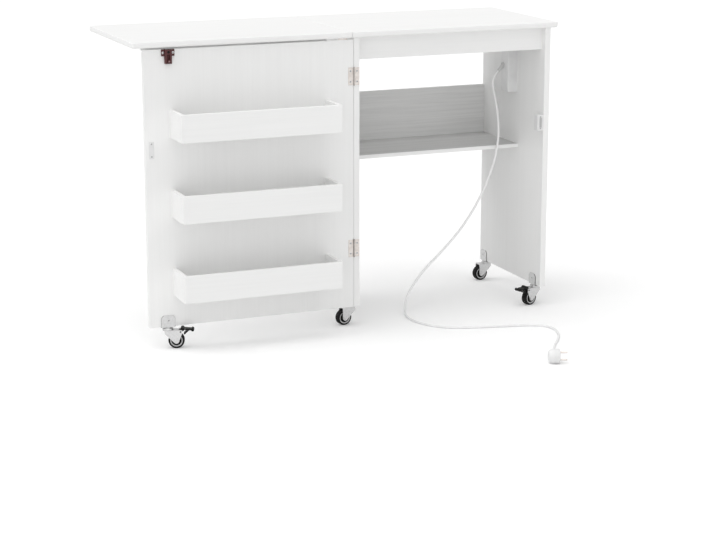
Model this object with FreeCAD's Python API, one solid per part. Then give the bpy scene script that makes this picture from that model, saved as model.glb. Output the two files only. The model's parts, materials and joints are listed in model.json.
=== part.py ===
import FreeCAD
import Part
import math
import os

from FreeCAD import Vector

# Folding sewing table: a carcass on castors, a drop leaf, and a gate door with three bins under the leaf.
# Millimetres. +X runs along the table towards the fixed top, +Y to the back, +Z up. The floor is at zero,
# and the origin lies under the middle of the unfolded table's box, without the lead.

# Overall boards
side_height = 720.0
side_depth = 376.0
side_thickness = 16.0
carcass_width = 574.0
top_thickness = 15.0
top_front_overhang = 14.0
top_back_overhang = 14.0
top_end_overhang = 16.0
top_hinge_overhang = 9.0
leaf_end_overhang = 31.4
leaf_joint_gap = 1.0
top_corner_radius = 8.0
edge_round = 2.0
top_lower_round = 5.0
board_edge_round = 0.8

# Gate and its bins
gate_end_reveal = 8.2
gate_thickness = 12.0
gate_side_gap = 0.8
gate_swing_margin = 0.6
bin_count = 3
bin_length = 429.0
bin_reach = 98.0
bin_height = 71.0
bin_low_rise = 81.0
bin_high_drop = 158.0
bin_hinge_offset = 70.7
bin_board = 9.0
bin_floor = 6.0

# Strip under the leaf that the open gate stops against
stop_depth = 8.0
stop_width = 12.0
stop_gap = 1.0
stop_hinge_offset = 60.0

# Carcass inside
apron_height = 61.0
apron_thickness = 15.0
apron_setback = 20.0
shelf_rise = 379.0
shelf_thickness = 10.0
shelf_setback = 149.0
back_board_height = 138.0
back_board_thickness = 11.0

# Hinges
hinge_plate = 1.2
hinge_height = 46.0
hinge_knuckle_radius = 2.3
hinge_pin_radius = 1.3
hinge_knuckle_count = 5
knuckle_gap = 0.3
pin_clearance = 0.05
gate_hinge_low_rise = 161.0
gate_hinge_high_drop = 101.0
gate_hinge_leaf_width = 15.0
panel_hinge_leaf_width = 15.0
leaf_hinge_drop = 5.0
leaf_hinge_inset = 5.0
leaf_hinge_height = 60.0
leaf_hinge_width = 32.0
leaf_hinge_side_margin = 75.0
pin_head_height = 1.0

# Slide bolt at the gate's top
bolt_from_free_edge = 64.6
bolt_case_width = 34.0
bolt_flange_height = 17.0
bolt_stem_width = 18.0
bolt_stem_height = 19.0
bolt_case_plate = 3.0
bolt_case_depth = 9.0
bolt_radius = 2.0
bolt_stand_off = 4.0
bolt_travel = 13.0
bolt_clearance = 0.4
bolt_keep_depth = 8.0
bolt_keep_clearance = 1.0
bolt_knob_radius = 3.2
bolt_knob_reach = 5.0
bolt_knob_chamfer = 1.0

# Magnetic catch and its strike
catch_rise = 440.0
catch_height = 43.0
catch_reach = 18.0
catch_depth = 22.0
catch_air_gap = 0.4
magnet_height = 26.0
magnet_width = 5.0
magnet_depth = 16.0
strike_width = 13.0
strike_thickness = 1.5

# Knob
knob_radius = 15.0
knob_reach = 24.0
knob_neck_radius = 6.5
knob_neck_length = 9.0
knob_crown_round = 6.0
knob_from_free_edge = 45.0
knob_rise = 498.0

# Power unit in the right panel
power_drop = 58.0
power_setback = 160.0
housing_height = 138.0
housing_width = 45.0
housing_reach = 29.0
housing_round = 4.0
cutout_margin = 4.0
cutout_clearance = 0.3
plate_margin = 11.0
plate_thickness = 3.0
plate_round = 6.0
plate_rim_round = 1.2
socket_count = 2
socket_height = 38.0
socket_width = 31.0
socket_pitch = 44.0
socket_depth = 9.0
socket_hole_radius = 2.6
socket_hole_spacing = 19.0
socket_hole_depth = 7.0
socket_recess = 0.6
usb_count = 2
usb_height = 15.0
usb_width = 9.0
usb_pitch = 14.0
usb_slot_height = 12.4
usb_slot_width = 4.6
usb_slot_depth = 6.0
usb_tongue = 1.8
usb_tongue_margin = 1.0
insert_clearance = 0.2

# Lead, its gland and its plug
lead_radius = 3.25
lead_exit_run = 17.0
gland_rise = 72.0
gland_offset = 14.0
gland_flange_radius = 8.0
gland_flange_length = 3.0
gland_length = 22.0
gland_root_radius = 6.0
gland_tip_radius = 4.2
gland_tilt = 45.0
plug_radius = 19.0
plug_face_depth = 14.0
plug_back_depth = 16.0
plug_back_radius = 12.0
plug_tail_length = 42.0
plug_tail_radius = 8.5
plug_tail_drop = 11.0
plug_tail_root_share = 0.3
plug_pin_radius = 2.4
plug_pin_length = 19.0
plug_pin_spacing = 19.0
plug_pin_tip_round = 1.4
plug_heading = 68.2
plug_along = 340.0
plug_ahead = 649.0

# Castors
castor_height = 58.0
wheel_radius = 21.0
wheel_width = 18.0
wheel_edge_round = 3.5
rim_radius = 16.0
hub_width = 19.0
hub_boss_radius = 6.0
hub_dish_depth = 4.0
hub_lip = 2.5
hub_rim_step = 0.5
castor_trail = 22.0
fork_plate = 2.0
fork_side_gap = 0.5
fork_crown_radius = 14.0
fork_drop = 9.0
fork_boss_radius = 7.5
axle_radius = 3.0
axle_head_radius = 5.0
axle_head = 1.5
king_pin_radius = 4.0
king_head_radius = 7.0
king_head = 3.0
swivel_gap = 0.3
race_radius = 14.0
race_neck_radius = 10.0
race_height = 4.0
saddle_plate = 2.0
saddle_width = 38.0
saddle_tab_height = 30.0
saddle_tab_round = 11.0
castor_front_inset = 44.0
castor_back_inset = 25.0
gate_castor_inset = 50.1
pedal_length = 31.0
pedal_width = 19.0
pedal_thickness = 3.4
pedal_hump_ahead = 5.0
pedal_hump_rise = 6.8
pedal_hump_radius = 5.0
pedal_toe_rise = 4.5
pedal_shoe_ahead = 9.0
pedal_shoe_drop = 6.5
pedal_shoe_root_share = 0.65
pedal_pivot_radius = 2.0
pedal_pivot_ahead = 11.0
pedal_pivot_drop = 4.5
pedal_toe_radius = 4.0
pedal_eye_wall = 1.5
fork_heel_wall = 4.0
fork_nose_share = 0.6
castor_edge_round = 1.0

# Screws
screw_head_radius = 3.4
screw_head = 1.6
hinge_screw_head = 0.8
screw_crown_share = 0.7
hinge_screw_spread = 0.3
panel_hinge_screw_share = 0.55
gate_hinge_screw_share = 0.6
leaf_hinge_screw_share = 0.62
castor_screw_share = 0.55

# Places that follow from the sizes above
top_length = top_hinge_overhang + carcass_width + top_end_overhang
gate_width = carcass_width - gate_end_reveal
leaf_length = gate_width + gate_side_gap + leaf_end_overhang - top_hinge_overhang - leaf_joint_gap
total_length = leaf_length + leaf_joint_gap + top_length
left_face = -total_length / 2 + leaf_length + leaf_joint_gap + top_hinge_overhang
right_face = left_face + carcass_width
left_inner = left_face + side_thickness
right_inner = right_face - side_thickness
front_reach = max(bin_reach, top_front_overhang)
front_plane = -(front_reach + side_depth + top_back_overhang) / 2 + front_reach
back_plane = front_plane + side_depth
top_under = castor_height + side_height
top_over = top_under + top_thickness
board_bottom = castor_height
power_low = top_under - power_drop - housing_height
bin_pitch = (side_height - bin_low_rise - bin_high_drop - bin_height) / (bin_count - 1)

# The gate turns about the gap between its edge and the left panel. The leaf falls half as fast as
# the gate turns, so the gate's top clears it with a drop of half the leaf's overhang, less what the
# round of the leaf's lower edge gives back, and a one in two bevel behind.
gate_axis_x = left_face - gate_side_gap / 2
gate_axis_y = front_plane - hinge_knuckle_radius
gate_hinge_edge = left_face - gate_side_gap
gate_free_edge = gate_hinge_edge - gate_width
gate_back = front_plane + gate_thickness
lower_round_relief = top_lower_round * (3 - math.sqrt(5)) / 2
gate_top = top_under - top_front_overhang / 2 + lower_round_relief - gate_swing_margin
gate_top_behind = gate_top - gate_thickness / 2
gate_castor_x = gate_free_edge + gate_castor_inset
gate_hinge_rises = (gate_hinge_low_rise, side_height - gate_hinge_high_drop)

leaf_axis_x = left_face - top_hinge_overhang + leaf_hinge_inset
leaf_axis_z = top_under - leaf_hinge_drop
leaf_right = left_face - top_hinge_overhang - leaf_joint_gap
leaf_left = leaf_right - leaf_length

bolt_x = gate_free_edge + bolt_from_free_edge
bolt_y = front_plane - bolt_stand_off


def box(x0, x1, y0, y1, z0, z1):
    return Part.makeBox(x1 - x0, y1 - y0, z1 - z0, Vector(x0, y0, z0))


def rod(radius, start, end):
    axis = end - start
    return Part.makeCylinder(radius, axis.Length, start, axis)


def prism(points, step):
    """Extrudes a closed outline of 3-D points by a vector."""
    wire = Part.makePolygon(points + points[:1])
    return Part.Face(wire).extrude(step)


def upright_edges(shape):
    return [e for e in shape.Edges if abs(e.tangentAt(e.FirstParameter).z) > 0.99 and len(e.Vertexes) == 2]


def soften(shape, radius):
    return shape.makeFillet(radius, shape.Edges)


def level_edges(shape, level):
    return [e for e in shape.Edges if all(abs(v.Z - level) < 1e-6 for v in e.Vertexes)]


def export(name, *solids):
    shape = solids[0] if len(solids) == 1 else Part.makeCompound(list(solids))
    shape.exportStep("parts/" + name + ".step")


def worktop(x0, x1, round_left, round_right):
    """A top board: rounded outer corners and softened edges."""
    y0 = front_plane - top_front_overhang
    y1 = back_plane + top_back_overhang
    board = box(x0, x1, y0, y1, top_under, top_over)
    corners = []
    for edge in upright_edges(board):
        on_left = abs(edge.Vertexes[0].X - x0) < 1e-6
        if (on_left and round_left) or (not on_left and round_right):
            corners.append(edge)
    board = board.makeFillet(top_corner_radius, corners)
    joint_x = x0 if round_right else x1
    lower = [e for e in level_edges(board, top_under) if abs(e.CenterOfMass.x - joint_x) > 1e-6]
    board = board.makeFillet(top_lower_round, lower)
    return board.makeFillet(edge_round, level_edges(board, top_over))


def make_boards():
    main_top = worktop(left_face - top_hinge_overhang, right_face + top_end_overhang, False, True)
    export("main_top", main_top)

    keep = rod(
        bolt_radius + bolt_keep_clearance,
        Vector(bolt_x, bolt_y, top_under),
        Vector(bolt_x, bolt_y, top_under + bolt_keep_depth),
    )
    export("drop_leaf", worktop(leaf_left, leaf_right, True, False).cut(keep))

    stop_front = gate_back + stop_gap
    export("leaf_stop_strip", box(
        gate_free_edge, leaf_right - stop_hinge_offset, stop_front, stop_front + stop_width,
        top_under - stop_depth, top_under))

    left_panel = box(left_face, left_inner, front_plane, back_plane, board_bottom, top_under)
    export("left_side_panel", left_panel.makeFillet(board_edge_round, upright_edges(left_panel)))
    right_panel = box(right_inner, right_face, front_plane, back_plane, board_bottom, top_under)
    right_panel = right_panel.makeFillet(board_edge_round, upright_edges(right_panel))
    export("right_side_panel", right_panel.cut(power_cutout(0.0)))

    apron_front = front_plane + apron_setback
    export("front_apron", box(
        left_inner, right_inner, apron_front, apron_front + apron_thickness,
        top_under - apron_height, top_under))

    shelf_top = board_bottom + shelf_rise
    export("shelf", box(
        left_inner, right_inner, front_plane + shelf_setback, back_plane,
        shelf_top - shelf_thickness, shelf_top))
    export("shelf_back_panel", box(
        left_inner, right_inner, back_plane - back_board_thickness, back_plane,
        shelf_top, shelf_top + back_board_height))


def make_gate():
    outline = [
        Vector(gate_free_edge, front_plane, board_bottom),
        Vector(gate_free_edge, gate_back, board_bottom),
        Vector(gate_free_edge, gate_back, gate_top_behind),
        Vector(gate_free_edge, front_plane, gate_top),
    ]
    gate = prism(outline, Vector(gate_width, 0, 0))
    export("gate_door", gate.makeFillet(board_edge_round, upright_edges(gate)))

    bin_right = gate_hinge_edge - bin_hinge_offset
    bin_left = bin_right - bin_length
    bin_front = front_plane - bin_reach
    for name, index in zip(("lower", "middle", "upper"), range(bin_count)):
        low = board_bottom + bin_low_rise + index * bin_pitch
        high = low + bin_height
        front = box(bin_left, bin_right, bin_front, bin_front + bin_board, low, high)
        export(name + "_bin_front", soften(front, board_edge_round))
        ends = []
        for x in (bin_left, bin_right - bin_board):
            ends.append(box(x, x + bin_board, bin_front + bin_board, front_plane, low, high))
        export(name + "_bin_ends", *ends)
        export(name + "_bin_floor", box(
            bin_left + bin_board, bin_right - bin_board, bin_front + bin_board, front_plane,
            low, low + bin_floor))


def make_knob():
    x = gate_free_edge + knob_from_free_edge
    base = Vector(x, gate_back, board_bottom + knob_rise)
    outward = Vector(0, 1, 0)
    neck = Part.makeCylinder(knob_neck_radius, knob_neck_length, base, outward)
    head_base = base + outward * knob_neck_length
    head = Part.makeCylinder(knob_radius, knob_reach - knob_neck_length, head_base, outward)
    crown_y = base.y + knob_reach
    crown = [e for e in head.Edges if abs(e.CenterOfMass.y - crown_y) < 1e-6]
    head = head.makeFillet(knob_crown_round, crown)
    rim = [e for e in head.Edges if abs(e.CenterOfMass.y - head_base.y) < 1e-6]
    head = head.makeFillet(edge_round, rim)
    knob = neck.fuse(head).removeSplitter()
    export("gate_knob", knob)


def hinge_halves(height, plate_a, plate_b):
    """Splits a hinge about local Z. Knuckles go to each plate in turn, and a pin fills the bore."""
    slot = height / hinge_knuckle_count
    bore = rod(hinge_pin_radius + pin_clearance, Vector(0, 0, -height), Vector(0, 0, height))
    halves = []
    for first, plate in ((0, plate_a), (1, plate_b)):
        half = plate
        room = None
        for index in range(hinge_knuckle_count):
            low = -height / 2 + index * slot
            if index % 2 == first:
                knuckle = rod(
                    hinge_knuckle_radius,
                    Vector(0, 0, low + knuckle_gap / 2), Vector(0, 0, low + slot - knuckle_gap / 2))
                half = half.fuse(knuckle)
            else:
                notch = rod(
                    hinge_knuckle_radius + knuckle_gap,
                    Vector(0, 0, low - knuckle_gap / 2), Vector(0, 0, low + slot + knuckle_gap / 2))
                room = notch if room is None else room.fuse(notch)
        halves.append(half.cut(room).cut(bore).removeSplitter())
    pin = rod(hinge_pin_radius, Vector(0, 0, -height / 2), Vector(0, 0, height / 2))
    for end, way in ((-height / 2, -1), (height / 2, 1)):
        head_end = Vector(0, 0, end + way * pin_head_height)
        pin = pin.fuse(rod(hinge_knuckle_radius, Vector(0, 0, end), head_end))
    return halves[0], halves[1], pin.removeSplitter()


def make_gate_hinges():
    half = hinge_height / 2
    on_panel = box(0, gate_side_gap / 2 + panel_hinge_leaf_width,
                   hinge_knuckle_radius - hinge_plate, hinge_knuckle_radius, -half, half)
    on_gate = box(-gate_side_gap / 2 - gate_hinge_leaf_width, 0,
                  hinge_knuckle_radius - hinge_plate, hinge_knuckle_radius, -half, half)
    panel_leaf, gate_leaf, pin = hinge_halves(hinge_height, on_panel, on_gate)
    places = [Vector(gate_axis_x, gate_axis_y, board_bottom + rise) for rise in gate_hinge_rises]
    export("gate_hinge_panel_leaves", *[panel_leaf.translated(p) for p in places])
    export("gate_hinge_gate_leaves", *[gate_leaf.translated(p) for p in places])
    export("gate_hinge_pins", *[pin.translated(p) for p in places])


def leaf_hinge_places():
    first = front_plane + leaf_hinge_side_margin
    last = back_plane - leaf_hinge_side_margin
    return [Vector(leaf_axis_x, y, leaf_axis_z) for y in (first, last)]


def make_leaf_hinges():
    half = leaf_hinge_height / 2
    to_panel = left_face - leaf_axis_x
    on_panel = box(to_panel - hinge_plate, to_panel, 0, leaf_hinge_width, -half, half)
    on_panel = on_panel.fuse(box(0, to_panel, 0, hinge_plate, -half, half))
    on_leaf = box(-leaf_hinge_width, 0, -leaf_hinge_drop, -leaf_hinge_drop + hinge_plate, -half, half)
    on_leaf = on_leaf.fuse(box(-hinge_plate, 0, -leaf_hinge_drop, 0, -half, half))
    panel_plate, leaf_plate, pin = hinge_halves(leaf_hinge_height, on_panel, on_leaf)
    lie_down = FreeCAD.Rotation(Vector(1, 0, 0), 90)
    shapes = {
        "leaf_hinge_panel_plates": panel_plate,
        "leaf_hinge_leaf_plates": leaf_plate,
        "leaf_hinge_pins": pin,
    }
    for name, shape in shapes.items():
        copies = []
        for place in leaf_hinge_places():
            copy = shape.copy()
            copy.Placement = FreeCAD.Placement(place, lie_down.inverted())
            copies.append(copy)
        export(name, *copies)


def make_bolt():
    top = gate_top
    flange = box(bolt_x - bolt_case_width / 2, bolt_x + bolt_case_width / 2,
                 front_plane - bolt_case_plate, front_plane, top - bolt_flange_height, top)
    stem_low = top - bolt_flange_height - bolt_stem_height
    stem = box(bolt_x - bolt_stem_width / 2, bolt_x + bolt_stem_width / 2,
               front_plane - bolt_case_depth, front_plane, stem_low, top)
    stem = stem.makeFillet(edge_round, [e for e in upright_edges(stem) if e.Vertexes[0].Y < front_plane - 1])
    channel = rod(bolt_radius + bolt_clearance, Vector(bolt_x, bolt_y, stem_low), Vector(bolt_x, bolt_y, top))
    knob_low = stem_low + bolt_knob_radius * 2
    slot_half = bolt_knob_radius + bolt_clearance
    slot = box(bolt_x - slot_half, bolt_x + slot_half, front_plane - bolt_case_depth - 1, bolt_y,
               knob_low - slot_half, knob_low + bolt_travel + slot_half)
    export("bolt_case", flange.fuse(stem).cut(channel).cut(slot).removeSplitter())

    shank = rod(bolt_radius, Vector(bolt_x, bolt_y, stem_low), Vector(bolt_x, bolt_y, top - bolt_clearance))
    outer = front_plane - bolt_case_depth - bolt_knob_reach
    knob = rod(bolt_knob_radius, Vector(bolt_x, bolt_y, knob_low), Vector(bolt_x, outer, knob_low))
    knob_rim = [e for e in knob.Edges if abs(e.CenterOfMass.y - outer) < 1e-6]
    knob = knob.makeChamfer(bolt_knob_chamfer, knob_rim)
    export("slide_bolt", shank.fuse(knob).removeSplitter())


def closed_x(x):
    """Where a point of the gate lies along X once the gate has swung shut."""
    return 2 * gate_axis_x - x


def make_catch():
    low = board_bottom + catch_rise
    high = low + catch_height
    inner = right_inner - catch_reach
    strike_middle = inner + catch_reach / 2
    strike_x = closed_x(strike_middle)
    strike = box(strike_x - strike_width / 2, strike_x + strike_width / 2,
                 front_plane - strike_thickness, front_plane, low, high)
    export("strike_plate", strike)
    magnet_front = front_plane - 2 * hinge_knuckle_radius + strike_thickness + catch_air_gap
    magnet_low = (low + high - magnet_height) / 2
    magnet = box(strike_middle - magnet_width / 2, strike_middle + magnet_width / 2,
                 magnet_front, magnet_front + magnet_depth, magnet_low, magnet_low + magnet_height)
    export("catch_magnet", magnet)
    case = box(inner, right_inner, front_plane, front_plane + catch_depth, low, high)
    case = case.makeFillet(edge_round, [e for e in upright_edges(case) if e.Vertexes[0].X < inner + 1])
    export("catch_case", case.cut(magnet))


def power_cutout(clearance):
    low = power_low
    middle = front_plane + power_setback + housing_width / 2
    half = housing_width / 2 - cutout_margin - clearance
    return box(right_inner, right_face, middle - half, middle + half,
               low + cutout_margin + clearance, low + housing_height - cutout_margin - clearance)


def insert_places():
    """Heights of the socket and USB inserts' middles, stacked up the face plate."""
    middle = power_low + housing_height / 2
    stack = socket_count * socket_pitch + usb_height + (socket_pitch - socket_height)
    first_socket = middle - stack / 2 + socket_pitch / 2
    sockets = [first_socket + i * socket_pitch for i in range(socket_count)]
    usb = sockets[-1] + socket_height / 2 + (socket_pitch - socket_height) + usb_height / 2
    return sockets, usb


def make_power_unit():
    low = power_low
    y0 = front_plane + power_setback
    middle = y0 + housing_width / 2
    body = box(right_inner - housing_reach, right_inner, y0, y0 + housing_width, low, low + housing_height)
    front_edges = [e for e in body.Edges if all(v.X < right_inner - 1 for v in e.Vertexes)]
    body = body.makeFillet(housing_round, front_edges)
    neck = power_cutout(cutout_clearance)
    pocket = box(right_face - socket_depth, right_face, middle - housing_width, middle + housing_width,
                 low, low + housing_height)
    export("power_housing", body.fuse(neck.cut(pocket)).removeSplitter())

    half_plate = housing_width / 2 + plate_margin / 2
    plate = box(right_face, right_face + plate_thickness, middle - half_plate, middle + half_plate,
                low - plate_margin, low + housing_height + plate_margin)
    corners = [e for e in plate.Edges if abs(e.tangentAt(e.FirstParameter).x) > 0.99]
    plate = plate.makeFillet(plate_round, corners)
    rim = [e for e in plate.Edges if all(v.X > right_face + plate_thickness - 1e-6 for v in e.Vertexes)]
    plate = plate.makeFillet(plate_rim_round, rim)

    sockets, usb = insert_places()
    socket_face = right_face + plate_thickness - socket_recess
    inserts = []
    for z in sockets:
        insert = box(right_face - socket_depth, socket_face,
                     middle - socket_width / 2, middle + socket_width / 2,
                     z - socket_height / 2, z + socket_height / 2)
        plate = plate.cut(insert_window(middle, z, socket_width, socket_height))
        for way in (-1, 1):
            start = Vector(socket_face - socket_hole_depth, middle, z + way * socket_hole_spacing / 2)
            insert = insert.cut(rod(socket_hole_radius, start, start + Vector(socket_hole_depth, 0, 0)))
        inserts.append(insert)
    export("socket_inserts", *inserts)

    ports = []
    for index in range(usb_count):
        y = middle + (index - (usb_count - 1) / 2) * usb_pitch
        port = box(right_face - socket_depth, socket_face, y - usb_width / 2, y + usb_width / 2,
                   usb - usb_height / 2, usb + usb_height / 2)
        slot = box(socket_face - usb_slot_depth, socket_face, y - usb_slot_width / 2, y + usb_slot_width / 2,
                   usb - usb_slot_height / 2, usb + usb_slot_height / 2)
        tongue = box(socket_face - usb_slot_depth, socket_face - socket_recess, y, y + usb_tongue,
                     usb - usb_slot_height / 2 + usb_tongue_margin,
                     usb + usb_slot_height / 2 - usb_tongue_margin)
        ports.append(port.cut(slot.cut(tongue)))
        plate = plate.cut(insert_window(y, usb, usb_width, usb_height))
    export("usb_ports", *ports)
    export("power_face_plate", plate)


def insert_window(y, z, width, height):
    half_width = width / 2 + insert_clearance
    half_height = height / 2 + insert_clearance
    return box(right_face, right_face + plate_thickness, y - half_width, y + half_width,
               z - half_height, z + half_height)


# The gland leaves the housing's inner face, tipped down
gland_base = Vector(
    right_inner - housing_reach, front_plane + power_setback + housing_width - gland_offset,
    power_low + gland_rise)
gland_way = Vector(-math.cos(math.radians(gland_tilt)), 0, -math.sin(math.radians(gland_tilt)))
gland_tip = gland_base + gland_way * gland_length

# The plug rests on its round rim in front of the table, pins to the right, its tail towards the lead
plug_middle = Vector(plug_along, -plug_ahead, plug_radius)
plug_tail_way = Vector(math.cos(math.radians(plug_heading)), math.sin(math.radians(plug_heading)), 0)
plug_pin_way = Vector(plug_tail_way.y, -plug_tail_way.x, 0)
plug_tail_end = plug_middle + plug_tail_way * (plug_radius + plug_tail_length) - Vector(0, 0, plug_tail_drop)
plug_tail_start = plug_middle + plug_tail_way * (plug_radius * plug_tail_root_share)
plug_exit_way = plug_tail_end - plug_tail_start
plug_exit_way.normalize()

# Route of the lead from the gland down past the shelf's front edge, along the floor and round to the plug
lead_route = [
    gland_tip,
    gland_tip + gland_way * lead_exit_run,
    Vector(499, 43, 604),
    Vector(502, 33, 572),
    Vector(504, 15, 522),
    Vector(499, -3, 466),
    Vector(486, -13, 412),
    Vector(465, -17, 356),
    Vector(439, -18, 301),
    Vector(405, -20, 248),
    Vector(365, -21, 199),
    Vector(317, -22, 153),
    Vector(264, -24, 108),
    Vector(224, -30, 64),
    Vector(198, -46, 31),
    Vector(184, -74, 8),
    Vector(174, -113, 3.3),
    Vector(175, -162, 3.3),
    Vector(192, -207, 3.3),
    Vector(218, -242, 3.3),
    Vector(261, -267, 3.3),
    Vector(325, -284, 3.3),
    Vector(382, -298, 3.3),
    Vector(434, -309, 3.3),
    Vector(474, -326, 3.3),
    Vector(490, -361, 3.3),
    Vector(482, -407, 3.3),
    Vector(455, -459, 3.3),
    Vector(415, -510, 3.3),
    Vector(390, -552, 3.6),
    plug_tail_end + plug_exit_way * lead_exit_run,
    plug_tail_end,
]
lead_bend_share = 0.45


def make_lead():
    edges = []
    start = lead_route[0]
    radii = []
    for before, corner, after in zip(lead_route, lead_route[1:], lead_route[2:]):
        back = (before - corner)
        ahead = (after - corner)
        reach = lead_bend_share * min(back.Length, ahead.Length)
        turn = math.pi - back.getAngle(ahead)
        radii.append(reach / math.tan(turn / 2))
        back.normalize()
        ahead.normalize()
        enter = corner + back * reach
        leave = corner + ahead * reach
        inward = (back + ahead)
        inward.normalize()
        to_centre = radii[-1] / math.cos(turn / 2)
        middle = corner + inward * (to_centre - radii[-1])
        edges.append(Part.LineSegment(start, enter).toShape())
        edges.append(Part.Arc(enter, middle, leave).toShape())
        start = leave
    edges.append(Part.LineSegment(start, lead_route[-1]).toShape())
    path = Part.Wire(edges)
    section = Part.Wire([Part.Circle(lead_route[0], gland_way, lead_radius).toShape()])
    lead = path.makePipeShell([section], True, False)
    expected = math.pi * lead_radius ** 2 * path.Length
    print("lead length", round(path.Length), "volume share", round(lead.Volume / expected, 4))
    print("lead bend radii", [round(r) for r in radii])
    export("power_lead", lead)


def make_gland():
    flange = Part.makeCylinder(gland_flange_radius, gland_flange_length, gland_base, Vector(-1, 0, 0))
    root = gland_base - gland_way * gland_root_radius
    room = gland_length + gland_root_radius
    cone = Part.makeCone(gland_root_radius, gland_tip_radius, room, root, gland_way)
    inside = box(gland_base.x, right_inner, gland_base.y - room, gland_base.y + room,
                 gland_base.z - room, gland_base.z + room)
    export("cord_gland", flange.fuse(cone).cut(inside).removeSplitter())


def make_plug():
    face = plug_middle + plug_pin_way * plug_face_depth
    disc = Part.makeCylinder(plug_radius, plug_face_depth, plug_middle, plug_pin_way)
    disc = disc.makeFillet(edge_round, [e for e in disc.Edges if (e.CenterOfMass - face).Length < 1e-6])
    dome = Part.makeCone(plug_radius, plug_back_radius, plug_back_depth, plug_middle, plug_pin_way * -1)
    tail_length = (plug_tail_end - plug_tail_start).Length
    tail = Part.makeCone(plug_tail_radius, gland_tip_radius, tail_length, plug_tail_start, plug_exit_way)
    export("plug_body", disc.fuse(dome).fuse(tail).removeSplitter())
    pins = []
    for way in (-1, 1):
        root = face + Vector(0, 0, way * plug_pin_spacing / 2)
        pin = Part.makeCylinder(plug_pin_radius, plug_pin_length, root, plug_pin_way)
        tip = root + plug_pin_way * plug_pin_length
        tip_rim = [e for e in pin.Edges if (e.CenterOfMass - tip).Length < 1e-6]
        pins.append(pin.makeFillet(plug_pin_tip_round, tip_rim))
    export("plug_pins", *pins)


# Levels of a castor, from the saddle under the board down to the king pin's head
saddle_under = castor_height - saddle_plate
fork_top = castor_height - fork_drop
race_under = fork_top + swivel_gap
fork_crown_under = fork_top - fork_plate
fork_inner = max(wheel_width, hub_width) / 2 + fork_side_gap
fork_outer = fork_inner + fork_plate
pedal_pivot = Vector(castor_trail + pedal_pivot_ahead, 0, fork_top - pedal_pivot_drop)


def saddle(thickness):
    """A castor's bracket about its own swivel axis, for a board of this thickness that runs along local X."""
    half = thickness / 2
    body = box(-saddle_width / 2, saddle_width / 2, -half - saddle_plate, half + saddle_plate,
               saddle_under, castor_height)
    for low in (-half - saddle_plate, half):
        tab = box(-saddle_width / 2, saddle_width / 2, low, low + saddle_plate,
                  saddle_under, castor_height + saddle_tab_height)
        across = [e for e in tab.Edges if abs(e.tangentAt(e.FirstParameter).y) > 0.99]
        tops = [e for e in across if e.CenterOfMass.z > castor_height]
        body = body.fuse(tab.makeFillet(saddle_tab_round, tops))
    neck = rod(race_neck_radius, Vector(0, 0, race_under), Vector(0, 0, saddle_under))
    race_top = race_under + race_height
    race = rod(race_radius, Vector(0, 0, race_under), Vector(0, 0, race_top))
    race_rim = [e for e in race.Edges if abs(e.CenterOfMass.z - race_top) < 1e-6]
    race = race.makeFillet(castor_edge_round, race_rim)
    head_top = fork_crown_under - swivel_gap
    pin = rod(king_pin_radius, Vector(0, 0, head_top), Vector(0, 0, race_under))
    head_low = head_top - king_head
    head = rod(king_head_radius, Vector(0, 0, head_low), Vector(0, 0, head_top))
    head_rim = [e for e in head.Edges if abs(e.CenterOfMass.z - head_low) < 1e-6]
    head = head.makeFillet(castor_edge_round, head_rim)
    return body.fuse([neck, race, pin, head]).removeSplitter()


def fork(braked):
    """A castor's fork about its swivel axis, wheel towards local +X, with its axle riveted in."""
    axle = Vector(castor_trail, 0, wheel_radius)
    nose = -fork_crown_radius * fork_nose_share
    heel = castor_trail + (pedal_pivot_ahead + fork_heel_wall if braked else fork_boss_radius)
    cheek_low = fork_top - fork_drop
    away = Vector(nose, 0, cheek_low) - axle
    tilt = math.atan2(away.z, away.x) + math.acos(fork_boss_radius / away.Length)
    touch = axle + Vector(math.cos(tilt), 0, math.sin(tilt)) * fork_boss_radius
    back = axle + Vector(fork_boss_radius, 0, 0)
    below = axle + Vector(0, 0, -fork_boss_radius)
    corners = [Vector(nose, 0, cheek_low), Vector(nose, 0, fork_top), Vector(heel, 0, fork_top)]
    if braked:
        corners.append(Vector(heel, 0, fork_top - 2 * pedal_pivot_drop))
    edges = [Part.Arc(back, below, touch).toShape(), Part.LineSegment(touch, corners[0]).toShape()]
    for start, end in zip(corners, corners[1:] + [back]):
        edges.append(Part.LineSegment(start, end).toShape())
    cheek = Part.Face(Part.Wire(edges))
    body = None
    for start in (-fork_outer, fork_inner):
        side = cheek.translated(Vector(0, start, 0)).extrude(Vector(0, fork_plate, 0))
        body = side if body is None else body.fuse(side)
    crown = box(nose, castor_trail + fork_boss_radius, -fork_outer, fork_outer, fork_crown_under, fork_top)
    disc = rod(fork_crown_radius, Vector(0, 0, fork_crown_under), Vector(0, 0, fork_top))
    pin = rod(axle_radius, axle - Vector(0, fork_outer, 0), axle + Vector(0, fork_outer, 0))
    body = body.fuse([crown, disc, pin])
    for way in (-1, 1):
        start = axle + Vector(0, way * fork_outer, 0)
        body = body.fuse(rod(axle_head_radius, start, start + Vector(0, way * axle_head, 0)))
    bore = rod(king_pin_radius + pin_clearance, Vector(0, 0, fork_crown_under), Vector(0, 0, fork_top))
    body = body.cut(bore)
    if braked:
        reach = Vector(0, fork_outer, 0)
        body = body.cut(rod(pedal_pivot_radius + pin_clearance, pedal_pivot - reach, pedal_pivot + reach))
    return body.removeSplitter()


def tyre():
    half = Vector(0, wheel_width / 2, 0)
    axle = Vector(castor_trail, 0, wheel_radius)
    ring = rod(wheel_radius, axle - half, axle + half)
    ring = ring.makeFillet(wheel_edge_round, [e for e in ring.Edges if len(e.Vertexes) == 1])
    return ring.cut(rod(rim_radius, axle - half, axle + half))


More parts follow.
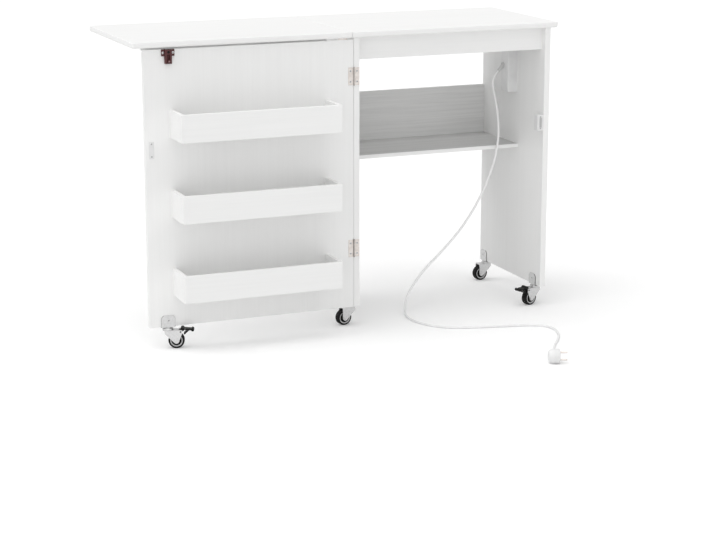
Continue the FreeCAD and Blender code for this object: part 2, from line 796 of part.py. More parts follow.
def hub():
    """A wheel's centre: a dished disc with a lip inside the tyre and a boss on the axle."""
    axle = Vector(castor_trail, 0, wheel_radius)
    half = wheel_width / 2 - hub_rim_step
    boss = hub_width / 2
    radii = (axle_radius + pin_clearance, hub_boss_radius, rim_radius - hub_lip, rim_radius)
    dish = half - hub_dish_depth
    profile = [
        Vector(radii[0], boss, 0), Vector(radii[1], boss, 0), Vector(radii[1], dish, 0),
        Vector(radii[2], dish, 0), Vector(radii[2], half, 0), Vector(radii[3], half, 0),
    ]
    profile += [Vector(p.x, -p.y, 0) for p in reversed(profile)]
    face = Part.Face(Part.makePolygon(profile + profile[:1]))
    wheel = face.revolve(Vector(0, 0, 0), Vector(0, 1, 0), 360)
    return wheel.translated(axle)


def pedal():
    """A brake lever on a pin through the fork's heel: a hump, a level toe and a shoe over the tread."""
    across = Vector(0, pedal_width, 0)
    start = pedal_pivot - across / 2
    hump = start + Vector(pedal_hump_ahead, 0, pedal_hump_rise)
    toe = start + Vector(pedal_length, 0, pedal_toe_rise)
    shoe = start + Vector(pedal_shoe_ahead, 0, -pedal_shoe_drop)
    shoe_root = hump + (toe - hump) * pedal_shoe_root_share
    body = rod(pedal_pivot_radius + pedal_eye_wall, start, start + across)
    body = body.fuse(rod(pedal_hump_radius, hump, hump + across))
    body = body.fuse(rod(pedal_toe_radius, toe, toe + across))
    for near, far in ((start, hump), (hump, toe), (shoe_root, shoe)):
        along = far - near
        half = Vector(-along.z, 0, along.x) * (pedal_thickness / 2 / along.Length)
        body = body.fuse(prism([near + half, far + half, far - half, near - half], across))
    reach = Vector(0, fork_outer, 0)
    pin = rod(pedal_pivot_radius, pedal_pivot - reach, pedal_pivot + reach)
    return body.fuse(pin).removeSplitter()


# Each castor: its swivel axis, the way its wheel trails at rest, the board over it and its brake
castors = {
    "left_front": (left_face + side_thickness / 2, front_plane + castor_front_inset, 187.0, 90.0, False),
    "left_back": (left_face + side_thickness / 2, back_plane - castor_back_inset, 140.0, 90.0, False),
    "right_front": (right_face - side_thickness / 2, front_plane + castor_front_inset, 196.0, 90.0, True),
    "right_back": (right_face - side_thickness / 2, back_plane - castor_back_inset, 185.0, 90.0, False),
    "gate": (gate_castor_x, front_plane + gate_thickness / 2, 340.0, 0.0, True),
}


def placed(shape, x, y, turn):
    copy = shape.copy()
    turned = FreeCAD.Placement(Vector(x, y, 0), FreeCAD.Rotation(Vector(0, 0, 1), turn))
    copy.Placement = turned.multiply(shape.Placement)
    return copy


def make_castors():
    carcass_saddles = []
    side_saddle = saddle(side_thickness)
    forks = {braked: fork(braked) for braked in (False, True)}
    wheel_tyre = tyre()
    wheel_hub = hub()
    brake = pedal()
    for name, (x, y, trail_way, board_way, braked) in castors.items():
        export(name + "_castor_fork", placed(forks[braked], x, y, trail_way))
        export(name + "_castor_tyre", placed(wheel_tyre, x, y, trail_way))
        export(name + "_castor_hub", placed(wheel_hub, x, y, trail_way))
        if braked:
            export(name + "_brake_pedal", placed(brake, x, y, trail_way))
        if name != "gate":
            carcass_saddles.append(placed(side_saddle, x, y, board_way))
    export("carcass_castor_brackets", *carcass_saddles)
    x, y, trail_way, board_way, braked = castors["gate"]
    export("gate_castor_bracket", placed(saddle(gate_thickness), x, y, board_way))


def screw(seat, outward, height=screw_head):
    """A screw's head, which sits on a surface at seat and points outward."""
    head = Part.makeCylinder(screw_head_radius, height, seat, outward)
    rim = seat + outward * height
    crown = [e for e in head.Edges if (e.CenterOfMass - rim).Length < 1e-6]
    return head.makeChamfer(height * screw_crown_share, crown)


def castor_screws(x, y, board_way, thickness):
    across = Vector(-math.sin(math.radians(board_way)), math.cos(math.radians(board_way)), 0)
    seat = Vector(x, y, castor_height + saddle_tab_height * castor_screw_share)
    reach = thickness / 2 + saddle_plate
    return [screw(seat + across * (way * reach), across * way) for way in (-1, 1)]


def make_screws():
    toward_front = Vector(0, -1, 0)
    on_carcass = []
    on_gate = []
    on_leaf = []
    plate_front = front_plane - hinge_plate
    flat = hinge_screw_head
    for rise in gate_hinge_rises:
        for way in (-1, 1):
            z = board_bottom + rise + way * hinge_height * hinge_screw_spread
            panel_seat = Vector(left_face + panel_hinge_leaf_width * panel_hinge_screw_share, plate_front, z)
            gate_reach = gate_hinge_leaf_width * gate_hinge_screw_share
            gate_seat = Vector(gate_hinge_edge - gate_reach, plate_front, z)
            on_carcass.append(screw(panel_seat, toward_front, flat))
            on_gate.append(screw(gate_seat, toward_front, flat))
    reach = leaf_hinge_width * leaf_hinge_screw_share
    for place in leaf_hinge_places():
        for way in (-1, 1):
            y = place.y + way * leaf_hinge_height * hinge_screw_spread
            panel_seat = Vector(left_face - hinge_plate, y, leaf_axis_z - reach)
            leaf_seat = Vector(leaf_axis_x - reach, y, top_under - hinge_plate)
            on_carcass.append(screw(panel_seat, Vector(-1, 0, 0), flat))
            on_leaf.append(screw(leaf_seat, Vector(0, 0, -1), flat))
    for way in (-1, 1):
        x = bolt_x + way * (bolt_case_width + bolt_stem_width) / 4
        seat = Vector(x, front_plane - bolt_case_plate, gate_top - bolt_flange_height / 2)
        on_gate.append(screw(seat, toward_front))
    for name, (x, y, trail_way, board_way, braked) in castors.items():
        thickness = gate_thickness if name == "gate" else side_thickness
        group = on_gate if name == "gate" else on_carcass
        group.extend(castor_screws(x, y, board_way, thickness))
    export("carcass_screws", *on_carcass)
    export("gate_screws", *on_gate)
    export("leaf_screws", *on_leaf)


os.makedirs("parts", exist_ok=True)
make_boards()
make_gate()
make_knob()
make_gate_hinges()
make_leaf_hinges()
make_bolt()
make_catch()
make_power_unit()
make_gland()
make_lead()
make_plug()
make_castors()
make_screws()
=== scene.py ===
import json
import math

import bmesh
import bpy
from mathutils import Matrix, Vector


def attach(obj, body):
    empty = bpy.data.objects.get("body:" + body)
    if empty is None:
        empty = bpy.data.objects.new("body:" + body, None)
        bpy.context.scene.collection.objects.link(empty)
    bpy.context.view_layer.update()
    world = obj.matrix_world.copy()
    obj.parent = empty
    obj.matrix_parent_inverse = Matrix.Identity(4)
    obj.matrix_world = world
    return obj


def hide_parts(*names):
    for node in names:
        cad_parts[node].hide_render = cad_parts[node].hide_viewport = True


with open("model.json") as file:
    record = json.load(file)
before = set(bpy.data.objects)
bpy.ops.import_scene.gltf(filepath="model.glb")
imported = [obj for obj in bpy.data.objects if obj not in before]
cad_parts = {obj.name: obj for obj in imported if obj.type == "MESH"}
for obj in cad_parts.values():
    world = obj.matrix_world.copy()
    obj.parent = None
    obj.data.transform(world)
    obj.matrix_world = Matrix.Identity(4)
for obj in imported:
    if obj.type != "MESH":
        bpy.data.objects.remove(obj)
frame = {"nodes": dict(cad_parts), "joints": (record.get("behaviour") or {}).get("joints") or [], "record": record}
nodes = frame["nodes"]
joints = {joint["name"]: joint for joint in frame["joints"]}
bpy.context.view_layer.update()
scene = bpy.context.scene
scene.view_settings.view_transform = "Standard"
print("frame loaded:", len(nodes), "nodes")

# camera: at the photograph's place, turned and tilted to its frame, without lens shift
view = {
    "place": Vector((-1.9278, -4.8179, 1.4004)),
    "yaw": 0.3942,
    "tilt": 0.2408,
    "lens": 98.46,
    "sensor": 36.0,
    "reach": 200.0,
}
cameraData = bpy.data.cameras.new("tableCamera")
cameraData.sensor_fit = "HORIZONTAL"
cameraData.sensor_width = view["sensor"]
cameraData.lens = view["lens"]
cameraData.clip_end = view["reach"]
camera = bpy.data.objects.new("tableCamera", cameraData)
camera.location = view["place"]
camera.rotation_euler = (math.pi / 2 - view["tilt"], 0.0, -view["yaw"])
scene.collection.objects.link(camera)
scene.camera = camera

# mains lead: out of the gland, down past the shelf, over the floor and round to the plug
lead = {
    "radius": 0.00325,
    "length": 1.521,
    "glandTip": Vector((0.51744, 0.045, 0.63844)),
    "glandWay": Vector((-0.70711, 0.0, -0.70711)),
    "plugEnd": Vector((0.36265, -0.59236, 0.008)),
    "plugWay": Vector((0.36420, 0.91054, -0.19507)),
    "exitRun": 0.017,
    "between": [
        (0.499, 0.043, 0.604), (0.502, 0.033, 0.572), (0.504, 0.015, 0.522), (0.499, -0.003, 0.466),
        (0.486, -0.013, 0.412), (0.465, -0.017, 0.356), (0.439, -0.018, 0.301), (0.405, -0.020, 0.248),
        (0.365, -0.021, 0.199), (0.317, -0.022, 0.153), (0.264, -0.024, 0.108), (0.224, -0.030, 0.064),
        (0.198, -0.046, 0.031), (0.184, -0.074, 0.008), (0.174, -0.113, 0.0033), (0.175, -0.162, 0.0033),
        (0.192, -0.207, 0.0033), (0.218, -0.242, 0.0033), (0.261, -0.267, 0.0033),
        (0.325, -0.284, 0.0033), (0.382, -0.298, 0.0033), (0.434, -0.309, 0.0033),
        (0.474, -0.326, 0.0033), (0.490, -0.361, 0.0033), (0.482, -0.407, 0.0033),
        (0.455, -0.459, 0.0033), (0.415, -0.510, 0.0033), (0.390, -0.552, 0.0036),
    ],
    "sideSteps": 5,
    "runSteps": 10,
    "order": 3,
}


def makeLead():
    leave = lead["glandTip"] + lead["glandWay"] * lead["exitRun"]
    arrive = lead["plugEnd"] + lead["plugWay"] * lead["exitRun"]
    route = [lead["glandTip"], leave, *lead["between"], arrive, lead["plugEnd"]]
    curve = bpy.data.curves.new("powerLead", "CURVE")
    curve.dimensions = "3D"
    curve.bevel_depth = lead["radius"]
    curve.bevel_resolution = lead["sideSteps"]
    curve.resolution_u = lead["runSteps"]
    curve.use_fill_caps = True
    spline = curve.splines.new("NURBS")
    spline.points.add(len(route) - 1)
    for point, place in zip(spline.points, route):
        point.co = (*place, 1.0)
    spline.order_u = lead["order"]
    spline.use_endpoint_u = True
    piece = bpy.data.objects.new("powerLead", curve)
    scene.collection.objects.link(piece)
    return piece


leadPiece = makeLead()
print("lead laid")


# a shader socket that takes part in sums
class Wire:
    def __init__(self, finish, socket):
        self.finish = finish
        self.socket = socket

    def __add__(self, other):
        return self.finish.sum("ADD", self, other)

    def __mul__(self, other):
        return self.finish.sum("MULTIPLY", self, other)

    __radd__ = __add__
    __rmul__ = __mul__


# one material, or the world: its shader and the nodes that feed it
class Finish:
    def __init__(self, owner, shader="Principled BSDF"):
        self.owner = owner
        owner.use_nodes = True
        self.tree = owner.node_tree
        self.shader = self.tree.nodes[shader]

    def connect(self, socket, value):
        if isinstance(value, Wire):
            self.tree.links.new(value.socket, socket)
        else:
            socket.default_value = value

    def add(self, kind, settings, sockets, output=0):
        node = self.tree.nodes.new(kind)
        for name, value in settings.items():
            setattr(node, name, value)
        for name, value in sockets.items():
            self.connect(node.inputs[name], value)
        return Wire(self, node.outputs[output])

    def sum(self, operation, first, second):
        return self.add("ShaderNodeMath", {"operation": operation}, {0: first, 1: second})

    def place(self, scale=(1.0, 1.0, 1.0)):
        where = self.add("ShaderNodeTexCoord", {}, {}, "Object")
        return self.add("ShaderNodeMapping", {}, {"Vector": where, "Scale": scale})

    def noise(self, where, scale=1.0, detail=2.0, rough=0.5):
        sockets = {"Vector": where, "Scale": scale, "Detail": detail, "Roughness": rough}
        return self.add("ShaderNodeTexNoise", {}, sockets, "Fac")

    def spread(self, wire, low, high):
        sockets = {"Value": wire, "From Min": low, "From Max": high}
        return self.add("ShaderNodeMapRange", {"clamp": True}, sockets)

    def mix(self, share, first, second):
        # the colour inputs of a Mix node are its sockets 6 and 7, and its colour output is number 2
        return self.add("ShaderNodeMix", {"data_type": "RGBA"}, {0: share, 6: first, 7: second}, 2)

    def bump(self, height, strength, distance):
        sockets = {"Height": height, "Strength": strength, "Distance": distance}
        return self.add("ShaderNodeBump", {}, sockets)

    def set(self, **sockets):
        for name, value in sockets.items():
            self.connect(self.shader.inputs[name.replace("_", " ")], value)
        return self.owner


def newFinish(name):
    return Finish(bpy.data.materials.new(name))


def tone(red, green, blue):
    return (red, green, blue, 1.0)


def grey(level):
    return tone(level, level, level)


# white melamine with a faint pressed grain that runs along one axis; on the shelf and its back panel the grain is
# bolder and the tone greyer, the grey being painted shade
board = {
    "white": {"pale": tone(0.890, 0.890, 0.884), "grain": tone(0.850, 0.850, 0.844)},
    # painted shade: the shelf's back panel is painted greyer than the white boards
    "shelf": {"pale": tone(0.800, 0.800, 0.794), "grain": tone(0.620, 0.620, 0.614)},
    # painted shade: the shelf's floor is painted greyer still
    "paintedShade": {"pale": tone(0.660, 0.660, 0.654), "grain": tone(0.520, 0.520, 0.514)},
    "broad": {"along": 2.2, "across": 95.0, "share": 0.6},
    "hair": {"along": 6.6, "across": 420.0, "share": 0.4},
    "streakLow": 0.40,
    "streakHigh": 0.66,
    "cloudScale": 5.0,
    "cloudLeast": 0.25,
    "cloudGain": 0.5,
    "roughness": 0.50,
    "streakRoughness": 0.12,
    "gloss": 0.15,
    "relief": 0.25,
    "depth": 0.0002,
}


def grainScale(size, axis):
    scale = [size["across"]] * 3
    scale[axis] = size["along"]
    return scale


def melamine(name, axis, shade):
    finish = newFinish(name)
    broad = finish.noise(finish.place(grainScale(board["broad"], axis)), detail=4.0, rough=0.6)
    hair = finish.noise(finish.place(grainScale(board["hair"], axis)))
    cloud = finish.noise(finish.place(), board["cloudScale"])
    grain = broad * board["broad"]["share"] + hair * board["hair"]["share"]
    streak = finish.spread(grain, board["streakLow"], board["streakHigh"])
    share = streak * (board["cloudLeast"] + cloud * board["cloudGain"])
    finish.set(Base_Color=finish.mix(share, board[shade]["pale"], board[shade]["grain"]))
    finish.set(Roughness=board["roughness"] + streak * board["streakRoughness"])
    finish.set(Specular_IOR_Level=board["gloss"])
    return finish.set(Normal=finish.bump(streak, board["relief"], board["depth"]))


# plated steel: a brushed face with a soft mottle
plating = {
    "brush": (700.0, 700.0, 60.0),
    "brushRoughness": 0.12,
    "mottleLow": 0.35,
    "mottleHigh": 0.65,
    "mottleRoughness": 0.06,
    "relief": 0.08,
    "depth": 0.00005,
}


def plated(name, colour, shade, roughness, spangle):
    finish = newFinish(name)
    brushed = finish.noise(finish.place(plating["brush"]))
    mottle = finish.noise(finish.place(), spangle, detail=3.0, rough=0.6)
    share = finish.spread(mottle, plating["mottleLow"], plating["mottleHigh"])
    finish.set(Base_Color=finish.mix(share, colour, shade))
    finish.set(Metallic=1.0)
    dull = brushed * plating["brushRoughness"] + share * plating["mottleRoughness"]
    finish.set(Roughness=roughness + dull)
    return finish.set(Normal=finish.bump(brushed, plating["relief"], plating["depth"]))


# moulded plastic and rubber: a fine texture, small changes of tone, and dull patches
moulding = {
    "patchScale": 45.0,
    "patchLow": 0.35,
    "patchHigh": 0.70,
    "patchRoughness": 0.10,
    "depth": 0.00008,
}


def moulded(name, colour, shade, roughness, texture=1800.0, relief=0.12, gloss=0.5):
    finish = newFinish(name)
    spark = finish.noise(finish.place(), texture)
    patch = finish.noise(finish.place(), moulding["patchScale"], detail=3.0, rough=0.55)
    share = finish.spread(patch, moulding["patchLow"], moulding["patchHigh"])
    finish.set(Base_Color=finish.mix(share, colour, shade))
    finish.set(Roughness=roughness + share * moulding["patchRoughness"])
    finish.set(Specular_IOR_Level=gloss)
    return finish.set(Normal=finish.bump(spark, relief, moulding["depth"]))


finishes = {
    "uprightGrain": melamine("melamineUpright", 2, "white"),
    "lengthGrain": melamine("melamineLengthwise", 0, "white"),
    # painted shade on the shelf's back panel
    "shelfGrainAndShade": melamine("melamineShelfShaded", 0, "shelf"),
    # painted shade on the shelf's floor
    "shelfFloor": melamine("melamineShelfFloor", 0, "paintedShade"),
    "nickel": plated("nickelPlate", tone(0.69, 0.65, 0.62), tone(0.59, 0.54, 0.51), 0.24, 160.0),
    # darker nickel for painted shade on the hinge knuckles
    "knuckle": plated("knuckleShadeNickel", tone(0.48, 0.45, 0.43), tone(0.36, 0.335, 0.325), 0.30, 160.0),
    "zinc": plated("zincPlate", grey(0.63), grey(0.55), 0.30, 220.0),
    # near-black zinc for painted shade on the castor brackets' narrow edges
    "shadedEdgeZinc": plated("shadedEdgeZinc", grey(0.20), grey(0.14), 0.38, 220.0),
    "brown": moulded("brownPlastic", tone(0.092, 0.024, 0.025), tone(0.065, 0.015, 0.016), 0.34, gloss=0.35),
    # paler brown for a painted highlight on the bolt knob's front
    "knobHighlight": moulded("brownKnobHighlight", tone(0.250, 0.155, 0.155), tone(0.200, 0.120, 0.120), 0.30),
    "white": moulded("whitePlastic", grey(0.78), grey(0.74), 0.36),
    "sheath": moulded("leadSheath", grey(0.88), grey(0.84), 0.42, texture=900.0),
    "black": moulded("blackPlastic", grey(0.006), grey(0.010), 0.42, gloss=0.14),
    "tyre": moulded("blackRubber", grey(0.008), grey(0.014), 0.66, texture=1200.0, relief=0.25, gloss=0.12),
    "rim": moulded("greyRim", grey(0.66), grey(0.58), 0.38),
    "magnet": moulded("ferriteMagnet", grey(0.42), grey(0.48), 0.50),
    "gland": moulded("greyGland", grey(0.64), grey(0.57), 0.45),
    # near black: painted shade in the screws' cross recesses and the socket holes
    "recess": moulded("recessShade", grey(0.060), grey(0.110), 0.70, gloss=0.2),
}

# which finish each board and each material slot gets
boardFinish = {
    "uprightGrain": ["left_side_panel", "right_side_panel", "gate_door"],
    "lengthGrain": ["main_top", "drop_leaf", "front_apron", "leaf_stop_strip"],
    "shelfGrainAndShade": ["shelf_back_panel"],
    "shelfFloor": ["shelf"],
}
for level in ("lower", "middle", "upper"):
    boardFinish["lengthGrain"] += [level + "_bin_front", level + "_bin_ends", level + "_bin_floor"]
slotFinish = {
    "nickel_steel": "nickel",
    "zinc_steel": "zinc",
    "brown_plastic": "brown",
    "white_plastic": "white",
    "black_plastic": "black",
    "dark_magnet": "magnet",
    "white_lead": "sheath",
    "black_tyre": "tyre",
    "grey_hub": "rim",
}

# faces that get a second finish: the shelf's edges, the brackets' narrow edges in painted shade and the bolt
# knob's front with a painted highlight
trim = {
    "shelfEdgeRise": 0.5,
    "bracketEdgeTurn": 0.3,
    "bracketEdgeLow": 0.0545,
    "knobFrontTurn": -0.9,
    "knobFrontReach": -0.156,
}


def coat(piece, finish):
    piece.data.materials.clear()
    piece.data.materials.append(finishes[finish])


def coatNodes():
    for subpart in frame["record"]["subparts"]:
        if subpart["material_slot"] in slotFinish:
            coat(nodes[subpart["node"]], slotFinish[subpart["material_slot"]])
    for finish, names in boardFinish.items():
        for name in names:
            coat(nodes[name], finish)
    coat(nodes["cord_gland"], "gland")
    coat(nodes["strike_plate"], "white")


# a second finish on the faces of a node that a rule picks
def coatFaces(nodeName, finish, rule):
    mesh = nodes[nodeName].data
    mesh.materials.append(finishes[finish])
    for face in mesh.polygons:
        if rule(face, mesh):
            face.material_index = len(mesh.materials) - 1


def shelfEdge(face, mesh):
    return abs(face.normal.z) < trim["shelfEdgeRise"]


def bracketEdge(face, axis):
    return abs(face.normal[axis]) > trim["bracketEdgeTurn"] and face.center.z > trim["bracketEdgeLow"]


def knobFront(face, mesh):
    return face.normal.y < trim["knobFrontTurn"] and face.center.y < trim["knobFrontReach"]


coatNodes()
coatFaces("shelf", "lengthGrain", shelfEdge)
# painted shade on the castor brackets' narrow edges
coatFaces("carcass_castor_brackets", "shadedEdgeZinc", lambda face, mesh: bracketEdge(face, 1))
coatFaces("gate_castor_bracket", "shadedEdgeZinc", lambda face, mesh: bracketEdge(face, 0))
# a painted highlight on the bolt knob's front
coatFaces("slide_bolt", "knobHighlight", knobFront)
print("finishes on")

# mesh helpers, in the object's own frame
weldGap = 1e-6
frontWay = (0.0, -1.0, 0.0)


def newPiece(name, bm, coats, body, smoothAngle=0.6):
    mesh = bpy.data.meshes.new(name)
    bm.to_mesh(mesh)
    bm.free()
    piece = bpy.data.objects.new(name, mesh)
    scene.collection.objects.link(piece)
    for finish in coats:
        mesh.materials.append(finishes[finish])
    mesh.shade_smooth()
    mesh.set_sharp_from_angle(angle=smoothAngle)
    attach(piece, body)
    return piece


def standing(origin, way):
    # puts a shape that was made along Z at origin, along way
    return Matrix.Translation(origin) @ Vector(way).to_track_quat("Z", "Y").to_matrix().to_4x4()


def linked(start):
    # every vertex joined to this one by edges
    found = {start}
    waiting = [start]
    while waiting:
        for edge in waiting.pop().link_edges:
            for vert in edge.verts:
                if vert not in found:
                    found.add(vert)
                    waiting.append(vert)
    return found


def spun(bm, profile, origin, way, steps):
    # turns (radius, height) points about a line through origin
    start = [bm.verts.new((radius, 0.0, height)) for radius, height in profile]
    edges = [bm.edges.new(pair) for pair in zip(start, start[1:])]
    bmesh.ops.spin(
        bm, geom=start + edges, cent=(0.0, 0.0, 0.0), axis=(0.0, 0.0, 1.0), dvec=(0.0, 0.0, 0.0),
        angle=math.tau, steps=steps, use_merge=True, use_normal_flip=False, use_duplicate=False)
    found = linked(start[0])
    turned = [vert for vert in bm.verts if vert in found]  # in the mesh's order, so every run merges alike
    bmesh.ops.remove_doubles(bm, verts=turned, dist=weldGap)
    found = linked(next(vert for vert in bm.verts if vert in found))
    faces = list({face for vert in found for face in vert.link_faces})
    bmesh.ops.recalc_face_normals(bm, faces=faces)
    bmesh.ops.transform(bm, matrix=standing(origin, way), verts=list(found))
    return faces


# plug: a round moulded head that lies on its rim, with a ribbed tail for the lead
plug = {
    "middle": Vector((0.340, -0.649, 0.019)),
    "pinWay": Vector((0.92848, -0.37137, 0.0)),
    "head": [
        (0.0, 0.0140), (0.0150, 0.0140), (0.0172, 0.0136), (0.0186, 0.0122), (0.0190, 0.0100),
        (0.0190, 0.0024), (0.0184, 0.0018), (0.0184, 0.0008), (0.0190, 0.0002), (0.0187, -0.0040),
        (0.0176, -0.0085), (0.0158, -0.0125), (0.0138, -0.0148), (0.0110, -0.0160), (0.0050, -0.0160),
        (0.0044, -0.0152), (0.0, -0.0152),
    ],
    "headSteps": 64,
    "tailStart": Vector((0.34212, -0.64371, 0.019)),
    "tailWay": Vector((0.36420, 0.91054, -0.19507)),
    "tailLength": 0.0564,
    "tailRoot": 0.0084,
    "tailTip": 0.0042,
    "tailSteps": 32,
    "bareShare": 0.40,
    "ribs": 6,
    "ribDepth": 0.0009,
    "ribFade": 0.6,
    "ribSteps": [(0.0, 0.0), (0.50, 0.0), (0.58, 1.0), (0.92, 1.0)],
}


def ribbedTail():
    profile = [(0.0, 0.0), (plug["tailRoot"], 0.0)]
    ribShare = (1.0 - plug["bareShare"]) / plug["ribs"]
    for rib in range(plug["ribs"]):
        for step, inset in plug["ribSteps"]:
            along = plug["bareShare"] + ribShare * (rib + step)
            radius = plug["tailRoot"] + (plug["tailTip"] - plug["tailRoot"]) * along
            depth = inset * plug["ribDepth"] * (1.0 - plug["ribFade"] * along)
            profile.append((radius - depth, along * plug["tailLength"]))
    return profile + [(plug["tailTip"], plug["tailLength"]), (0.0, plug["tailLength"])]


def makePlug():
    bm = bmesh.new()
    spun(bm, plug["head"], plug["middle"], plug["pinWay"], plug["headSteps"])
    head = newPiece("plugHead", bm, ["white"], "carcass")
    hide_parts("plug_body")
    bm = bmesh.new()
    spun(bm, ribbedTail(), plug["tailStart"], plug["tailWay"], plug["tailSteps"])
    tail = newPiece("plugTail", bm, ["white"], "carcass")
    return [head, tail, nodes["plug_pins"]]


coat(leadPiece, "sheath")
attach(leadPiece, "carcass")
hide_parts("power_lead")
plugPieces = makePlug()
print("plug made")

# screws: a domed head with a cross recess painted dark as shade, one for each plain head of the frame
screw = {
    "armReach": 0.52,
    "armWidth": 0.30,
    "rings": [(0.72, 0.93), (0.93, 0.62), (1.0, 0.2), (1.0, 0.0)],  # shares of radius and height
    "recessDepth": 0.75,
    "recessTaper": (0.8, 0.8, 1.0),
    "turn": 0.7,
    "levelGap": 1e-5,
}


def headPlaces(nodeName):
    # base centre, outward way, radius and height of each separate head in a node
    bm = bmesh.new()
    bm.from_mesh(nodes[nodeName].data)
    bmesh.ops.remove_doubles(bm, verts=bm.verts, dist=weldGap)
    left = set(bm.verts)
    places = []
    while left:
        group = linked(next(iter(left)))
        left -= group
        corners = [vert.co for vert in group]
        low = Vector([min(corner[i] for corner in corners) for i in range(3)])
        high = Vector([max(corner[i] for corner in corners) for i in range(3)])
        size = high - low
        axis = min(range(3), key=lambda i: size[i])
        middle = (low + high) / 2
        reach = {}
        for end, level in ((-1, low[axis]), (1, high[axis])):
            near = [corner for corner in corners if abs(corner[axis] - level) < screw["levelGap"]]
            reach[end] = max((corner - middle).length for corner in near)
        outward = 1 if reach[-1] > reach[1] else -1
        way = Vector([outward if i == axis else 0.0 for i in range(3)])
        places.append((middle - way * size[axis] / 2, way, max(size) / 2, size[axis]))
    bm.free()
    return sorted(places, key=lambda place: tuple(place[0]))


def crossCorners(radius, height):
    arm = radius * screw["armReach"]
    half = radius * screw["armWidth"] / 2
    corners = []
    for quarter in range(4):
        turn = Matrix.Rotation(quarter * math.pi / 2, 4, "Z")
        corners += [turn @ Vector((x, y, height)) for x, y in ((arm, -half), (arm, half), (half, half))]
    return corners


def closedLoop(bm, points):
    verts = [bm.verts.new(point) for point in points]
    return [bm.edges.new(pair) for pair in zip(verts, verts[1:] + verts[:1])]


def addScrew(bm, base, way, radius, height, turn):
    corners = crossCorners(radius, height)
    loops = [closedLoop(bm, corners)]
    for share, level in screw["rings"]:
        ways = [corner.xy.normalized() * radius * share for corner in corners]
        loops.append(closedLoop(bm, [(*point, level * height) for point in ways]))
    faces = []
    for inner, outer in zip(loops, loops[1:]):
        faces += bmesh.ops.bridge_loops(bm, edges=inner + outer)["faces"]
    recess = bmesh.ops.edgeloop_fill(bm, edges=loops[0])["faces"]
    faces += recess + bmesh.ops.edgeloop_fill(bm, edges=loops[-1])["faces"]
    bmesh.ops.recalc_face_normals(bm, faces=faces)
    sunk = bmesh.ops.extrude_discrete_faces(bm, faces=recess)["faces"][0]
    # the recess faces take the second finish, which is painted shade
    for face in {face for vert in sunk.verts for face in vert.link_faces}:
        face.material_index = 1
    bmesh.ops.translate(bm, verts=sunk.verts, vec=(0.0, 0.0, -height * screw["recessDepth"]))
    bmesh.ops.scale(bm, verts=sunk.verts, vec=screw["recessTaper"])
    place = standing(base, way) @ Matrix.Rotation(turn, 4, "Z")
    bmesh.ops.transform(bm, matrix=place, verts=list(linked(sunk.verts[0])))


def makeScrews():
    for body in ("carcass", "gate", "leaf"):
        bm = bmesh.new()
        for index, head in enumerate(headPlaces(body + "_screws")):
            addScrew(bm, *head, index * screw["turn"])
        piece = newPiece(body + "ScrewHeads", bm, ["zinc", "recess"], body)
        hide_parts(body + "_screws")


makeScrews()
print("screws made")

# castor wheels: a pale rim ring and a dark dished centre inside each tyre
wheel = {
    "castors": ["left_front", "left_back", "right_front", "right_back", "gate"],
    "half": [
        (0.0160, 0.0082), (0.0156, 0.0087), (0.0141, 0.0087), (0.0137, 0.0083), (0.0133, 0.0052),
        (0.0124, 0.0045), (0.0074, 0.0045), (0.0064, 0.0054), (0.0060, 0.0090), (0.0056, 0.0094),
        (0.0032, 0.0094),
    ],
    "rimInside": 0.01329,
    "steps": 56,
}


def makeWheelCentres():
    mirrored = [(radius, -height) for radius, height in reversed(wheel["half"])]
    profile = wheel["half"] + mirrored + wheel["half"][:1]
    for name in wheel["castors"]:
        spin = joints[name + "_wheel_spin"]
        middle = Vector(spin["pos_m"])
        way = Vector(spin["axis"])
        bm = bmesh.new()
        for face in spun(bm, profile, middle, way, wheel["steps"]):
            offset = face.calc_center_median() - middle
            radial = (offset - way * offset.dot(way)).length
            face.material_index = 0 if radial > wheel["rimInside"] else 1
        pieceName = name.replace("_", "") + "WheelCentre"
        piece = newPiece(pieceName, bm, ["rim", "black"], name + "_wheel")
        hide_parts(name + "_castor_hub")


makeWheelCentres()
print("wheel centres made")

# gate hinges: the rolled knuckles are painted darker than their plates, as painted shade on their curve
hinge = {
    "line": Vector(joints["gate_swing"]["pos_m"]).xy,
    "reach": 0.0026,
    "nodes": ["gate_hinge_panel_leaves", "gate_hinge_gate_leaves", "gate_hinge_pins"],
}


def onKnuckle(face, mesh):
    corners = [mesh.vertices[index].co.xy for index in face.vertices]
    return all((corner - hinge["line"]).length < hinge["reach"] for corner in corners)


for name in hinge["nodes"]:
    coatFaces(name, "knuckle", onKnuckle)
print("knuckles darkened")

# sockets: a contact sleeve deep in each round hole, painted near black as shade in the hole
socket = {
    "face": 0.5804,
    "middle": 0.0365,
    "levels": [0.6185, 0.6625],
    "spacing": 0.019,
    "sleeve": [
        (0.0, -0.0068), (0.0022, -0.0068), (0.0022, -0.0012), (0.0026, -0.0012), (0.0026, -0.0072),
        (0.0, -0.0072),
    ],
    "way": (1.0, 0.0, 0.0),
    "steps": 24,
}


def makeSockets():
    bm = bmesh.new()
    for level in socket["levels"]:
        for side in (-0.5, 0.5):
            spot = Vector((socket["face"], socket["middle"], level + side * socket["spacing"]))
            spun(bm, socket["sleeve"], spot, socket["way"], socket["steps"])
    newPiece("socketContacts", bm, ["recess"], "carcass")


makeSockets()
print("sockets made")

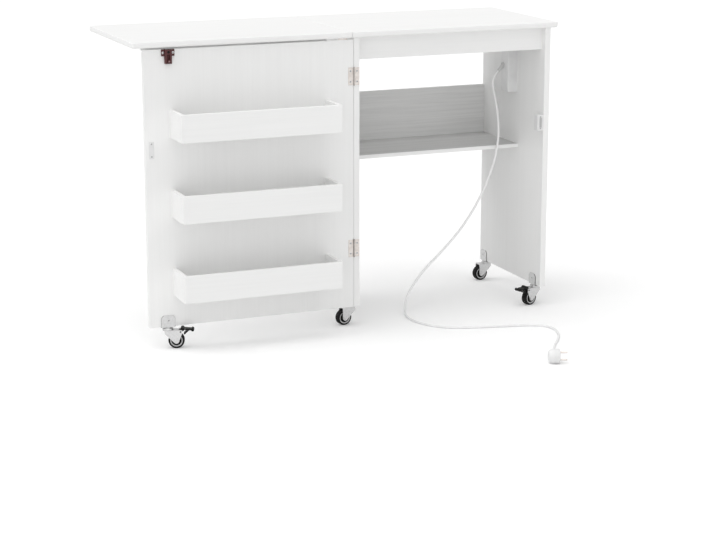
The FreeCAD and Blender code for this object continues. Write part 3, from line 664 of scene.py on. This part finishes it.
# slide bolt: a moulded ring round a black disc over the bolt's channel, the disc being painted shade in its hole
bolt = {
    "middle": Vector((-0.498, -0.155, 0.7653)),
    "ring": [
        (0.0032, -0.0003), (0.0032, 0.0002), (0.0034, 0.0006), (0.0041, 0.0009), (0.0048, 0.0006),
        (0.0050, 0.0002), (0.0050, -0.0003), (0.0032, -0.0003),
    ],
    "ringSteps": 40,
    "eye": [(0.0, 0.0002), (0.0030, 0.0002), (0.0032, 0.0), (0.0032, -0.0003), (0.0, -0.0003)],
    "eyeSteps": 32,
}


def makeBoltRing():
    for name, form, finish in (("boltRing", "ring", "brown"), ("boltEye", "eye", "black")):
        bm = bmesh.new()
        spun(bm, bolt[form], bolt["middle"], frontWay, bolt[form + "Steps"])
        newPiece(name, bm, [finish], "gate")


makeBoltRing()
print("bolt ring made")

# magnetic catch and its strike: a screw at each end of both
catch = {
    "caseScrews": [(0.553, -0.146, 0.5035), (0.553, -0.146, 0.5355)],
    "strikeScrews": [(-0.5458, -0.1475, 0.5035), (-0.5458, -0.1475, 0.5355)],
    "radius": 0.0026,
    "height": 0.0006,
    "turn": 0.9,
}


def makeCatchScrews():
    for name, body in (("caseScrews", "carcass"), ("strikeScrews", "gate")):
        bm = bmesh.new()
        for index, spot in enumerate(catch[name]):
            addScrew(bm, Vector(spot), frontWay, catch["radius"], catch["height"], index * catch["turn"])
        newPiece(name, bm, ["zinc", "recess"], body)


makeCatchScrews()
print("catch screws made")

# floor, world and lamps
studio = {
    "floorSize": 60.0,
    "floorTone": 0.90,
    "floorRoughness": 0.9,
    "floorLift": 0.155,
    "sky": 0.40,
    "background": 1.0,
    "lamps": {
        "overhead": {"way": Vector((-0.27, 0.09, 0.96)), "power": 1.00, "spread": 56.0},
        "fill": {"way": Vector((-0.52, -0.64, 0.57)), "power": 1.66, "spread": 130.0},
    },
}


def backgroundRays(finish):
    # 1 for rays that see the background straight, in a mirror or through glass, and 0 for the rest
    seen = finish.add("ShaderNodeLightPath", {}, {}, "Is Camera Ray")
    for name in ("Is Glossy Ray", "Is Transmission Ray"):
        seen = finish.sum("MAXIMUM", seen, finish.add("ShaderNodeLightPath", {}, {}, name))
    return seen


def makeFloor():
    bm = bmesh.new()
    bmesh.ops.create_grid(bm, x_segments=2, y_segments=2, size=studio["floorSize"] / 2)
    mesh = bpy.data.meshes.new("floor")
    bm.to_mesh(mesh)
    bm.free()
    floor = bpy.data.objects.new("floor", mesh)
    scene.collection.objects.link(floor)
    finish = newFinish("paleFloor")
    finish.set(Base_Color=grey(studio["floorTone"]), Roughness=studio["floorRoughness"])
    finish.set(Specular_IOR_Level=0.0)
    lift = finish.mix(backgroundRays(finish), grey(0.0), grey(studio["floorLift"]))
    finish.set(Emission_Color=lift, Emission_Strength=1.0)
    mesh.materials.append(finish.owner)


def makeLight():
    scene.world = bpy.data.worlds.new("studio")
    sky = Finish(scene.world, "Background")
    lift = backgroundRays(sky) * (studio["background"] - studio["sky"])
    sky.set(Color=grey(1.0), Strength=studio["sky"] + lift)
    for name, settings in studio["lamps"].items():
        lamp = bpy.data.lights.new(name, "SUN")
        lamp.energy = settings["power"]
        lamp.angle = math.radians(settings["spread"])
        source = bpy.data.objects.new(name, lamp)
        source.rotation_euler = settings["way"].to_track_quat("Z", "Y").to_euler()
        scene.collection.objects.link(source)


makeFloor()
makeLight()
print("studio lit")
